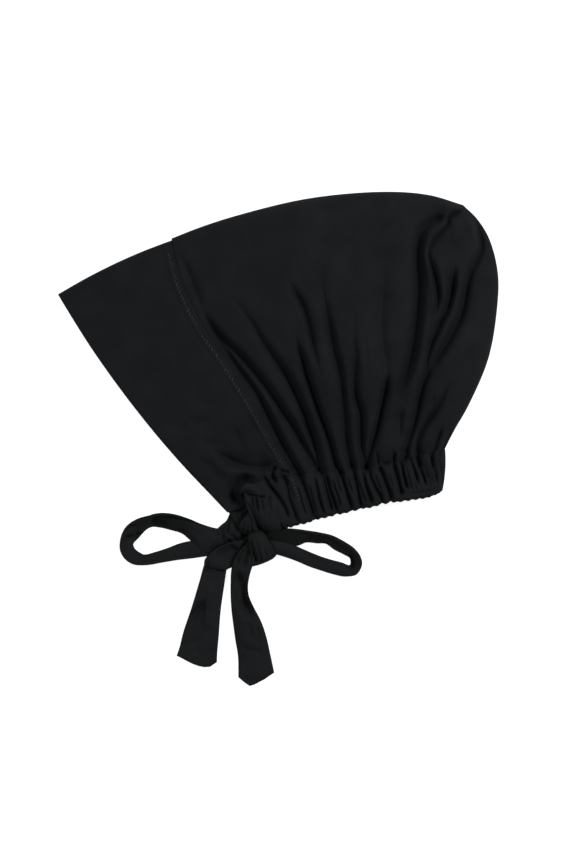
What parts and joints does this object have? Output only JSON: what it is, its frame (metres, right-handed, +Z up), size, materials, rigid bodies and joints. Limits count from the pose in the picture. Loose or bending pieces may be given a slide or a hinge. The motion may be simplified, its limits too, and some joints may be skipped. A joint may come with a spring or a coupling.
{
  "type": "hijab underscarf cap",
  "caption": "Jersey underscarf cap with a doubled front panel, a gathered crown, an elastic neck casing and ties knotted in a bow, lying on its side.",
  "frame": {"origin": "middle of the whole outline, on the surface that the cap lies on", "axes": "+Z up from the surface, +X from the face edge to the back of the head, +Y from the neck and bow to the ridge"},
  "size_m": [0.2914, 0.326, 0.0331],
  "materials": {
    "jersey": "matte black knit jersey",
    "gathered_jersey": "matte black knit jersey gathered over elastic",
    "tie_jersey": "matte black knit jersey, doubled and turned"
  },
  "bodies": {
    "root": {"front_panel": "jersey", "crown": "jersey", "neck_casing": "gathered_jersey", "tie_root_near": "tie_jersey", "tie_root_far": "tie_jersey", "bow_loop_left": "tie_jersey", "bow_loop_right": "tie_jersey", "tie_tail_left": "tie_jersey", "tie_tail_right": "tie_jersey", "bow_knot": "tie_jersey"}
  },
  "joints": []
}
